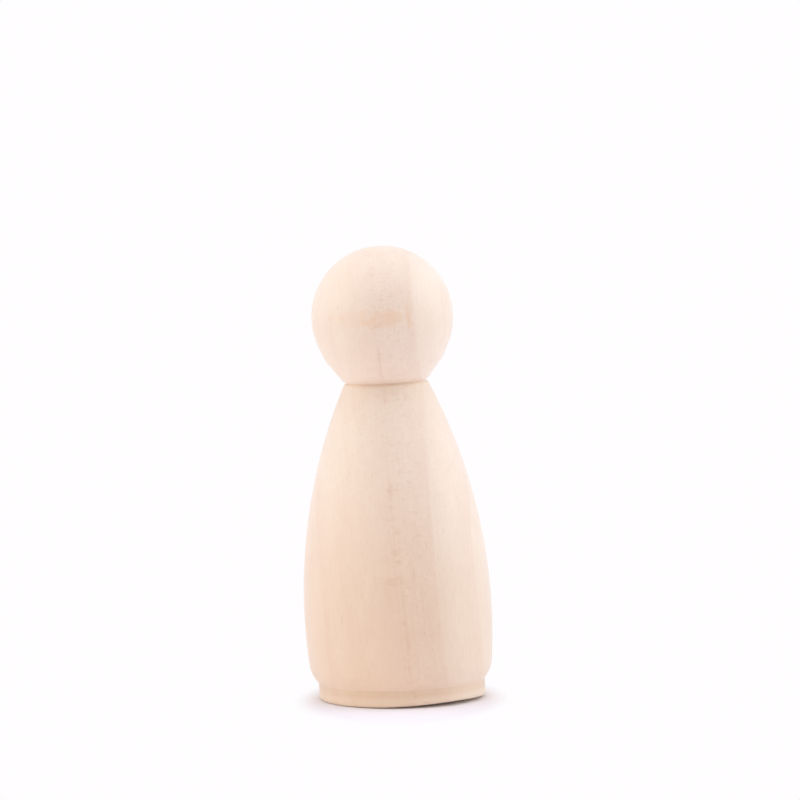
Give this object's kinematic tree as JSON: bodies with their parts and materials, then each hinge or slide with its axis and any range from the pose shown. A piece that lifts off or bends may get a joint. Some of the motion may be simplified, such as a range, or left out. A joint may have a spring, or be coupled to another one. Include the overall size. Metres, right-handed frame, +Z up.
{
  "type": "peg doll",
  "caption": "Plain turned wooden peg doll: ball head, sharp neck crease, bell-shaped body with a rounded hem, low stepped foot with a flat base.",
  "frame": {"origin": "centre of the flat base, on the surface that the doll stands on", "axes": "+Z up along the turning axis, from the base to the top of the head; -Y is the side the picture shows"},
  "size_m": [0.0178, 0.0178, 0.043],
  "materials": {
    "bare_wood": "sanded, unfinished"
  },
  "bodies": {
    "root": {"turned_doll": "bare_wood"}
  },
  "joints": []
}
